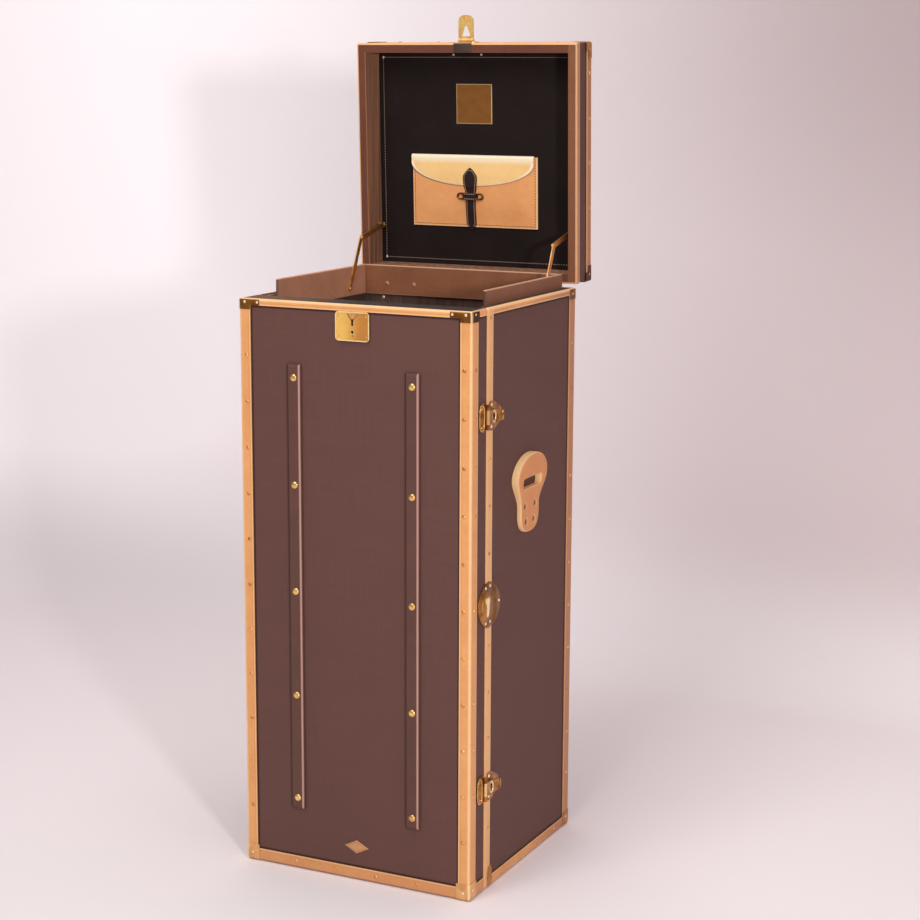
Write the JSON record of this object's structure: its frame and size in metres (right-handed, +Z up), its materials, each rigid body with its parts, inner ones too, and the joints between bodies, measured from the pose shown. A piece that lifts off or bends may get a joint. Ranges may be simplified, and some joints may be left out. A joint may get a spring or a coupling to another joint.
{
  "type": "bar trunk",
  "caption": "Upright leather-bound trunk with a full-height side-hinged front door, a stayed top lid with pocket, brass locks and latches, and leather side handles.",
  "frame": {"origin": "middle of the underside of the case's base panel, on the floor", "axes": "+Z up, the door faces -Y, +X to the right seen from the front"},
  "size_m": [0.5261, 0.5687, 1.6868],
  "materials": {
    "brown_canvas": "dark brown coated canvas, matt",
    "tan_leather": "natural tan leather, satin, stitched",
    "brown_leather": "brown leather, satin",
    "black_leather": "black lining leather, matt",
    "brass": "polished brass"
  },
  "bodies": {
    "case": {"back_collar": "brown_leather", "back_panel": "brown_canvas", "base_panel": "brown_canvas", "case_binding": "tan_leather", "centre_lock_case": "brass", "door_hinge_case_leaf": "brass", "left_back_base_cap": "brass", "left_back_top_cap": "brass", "left_collar": "brown_leather", "left_handle": "tan_leather", "left_lid_hinge_case_leaf": "brass", "left_side_panel": "brown_canvas", "lower_latch_catch": "brass", "right_back_base_cap": "brass", "right_back_top_cap": "brass", "right_collar": "brown_leather", "right_handle": "tan_leather", "right_lid_hinge_case_leaf": "brass", "right_side_panel": "brown_canvas", "shelf_1": "brown_leather", "shelf_2": "brown_leather", "upper_latch_catch": "brass", "well_floor": "brown_leather", "well_front": "brown_leather"},
    "door": {"centre_lock_keeper": "brass", "door_binding": "tan_leather", "door_frame": "brown_canvas", "door_hinge_door_leaf": "brass", "door_left_base_cap": "brass", "door_left_top_cap": "brass", "door_panel": "brown_canvas", "door_right_base_cap": "brass", "door_right_top_cap": "brass", "left_slat": "brown_leather", "lock_plate": "brass", "lower_latch_plate": "brass", "right_slat": "brown_leather", "upper_latch_plate": "brass"},
    "lid": {"hasp_plate": "brass", "left_lid_hinge_lid_leaf": "brass", "lid_frame": "brown_canvas", "lid_left_back_cap": "brass", "lid_left_front_cap": "brass", "lid_lining": "black_leather", "lid_right_back_cap": "brass", "lid_right_front_cap": "brass", "lid_rim_binding": "tan_leather", "lid_top_binding": "tan_leather", "lid_top_panel": "brown_canvas", "pocket_body": "tan_leather", "pocket_flap": "tan_leather", "pocket_strap": "brown_leather", "right_lid_hinge_lid_leaf": "brass"},
    "hasp": {"hasp": "brass"},
    "upper_latch_lever": {"upper_latch_lever": "brass"},
    "lower_latch_lever": {"lower_latch_lever": "brass"},
    "left_stay_lower": {"left_stay_lower": "brass"},
    "left_stay_upper": {"left_stay_upper": "brass"},
    "right_stay_lower": {"right_stay_lower": "brass"},
    "right_stay_upper": {"right_stay_upper": "brass"}
  },
  "joints": [
    {"name": "lid_hinge", "type": "hinge", "parent": "case", "child": "lid", "pos_m": [0, 0.2465, 1.144], "axis": [1, 0, 0], "range_deg": [0, 88]},
    {"name": "door_hinge", "type": "hinge", "parent": "case", "child": "door", "pos_m": [-0.2555, -0.1735, 0.572], "axis": [0, 0, -1], "range_deg": [0, 180]},
    {"name": "hasp_hinge", "type": "hinge", "parent": "lid", "child": "hasp", "pos_m": [0, 0.2399, 1.63677], "axis": [1, 0, 0], "range_deg": [0, 90]},
    {"name": "upper_latch_hinge", "type": "hinge", "parent": "door", "child": "upper_latch_lever", "pos_m": [0.2545, -0.1805, 0.94], "axis": [0, 0, -1], "range_deg": [0, 120]},
    {"name": "lower_latch_hinge", "type": "hinge", "parent": "door", "child": "lower_latch_lever", "pos_m": [0.2545, -0.1805, 0.21], "axis": [0, 0, -1], "range_deg": [0, 120]},
    {"name": "left_stay_lower_pivot", "type": "hinge", "parent": "case", "child": "left_stay_lower", "pos_m": [-0.221, 0.145, 1.1269], "axis": [1, 0, 0], "range_deg": [0, 91]},
    {"name": "left_stay_upper_pivot", "type": "hinge", "parent": "lid", "child": "left_stay_upper", "pos_m": [-0.221, 0.29066, 1.25191], "axis": [1, 0, 0], "range_deg": [-91, 0]},
    {"name": "right_stay_lower_pivot", "type": "hinge", "parent": "case", "child": "right_stay_lower", "pos_m": [0.221, 0.145, 1.1269], "axis": [1, 0, 0], "range_deg": [0, 91]},
    {"name": "right_stay_upper_pivot", "type": "hinge", "parent": "lid", "child": "right_stay_upper", "pos_m": [0.221, 0.29066, 1.25191], "axis": [1, 0, 0], "range_deg": [-91, 0]}
  ],
  "couplings": [
    {"joint": "left_stay_lower_pivot", "follows": "lid_hinge", "ratio": 1.0282},
    {"joint": "left_stay_upper_pivot", "follows": "lid_hinge", "ratio": -1.0314},
    {"joint": "right_stay_lower_pivot", "follows": "lid_hinge", "ratio": 1.0282},
    {"joint": "right_stay_upper_pivot", "follows": "lid_hinge", "ratio": -1.0314}
  ]
}
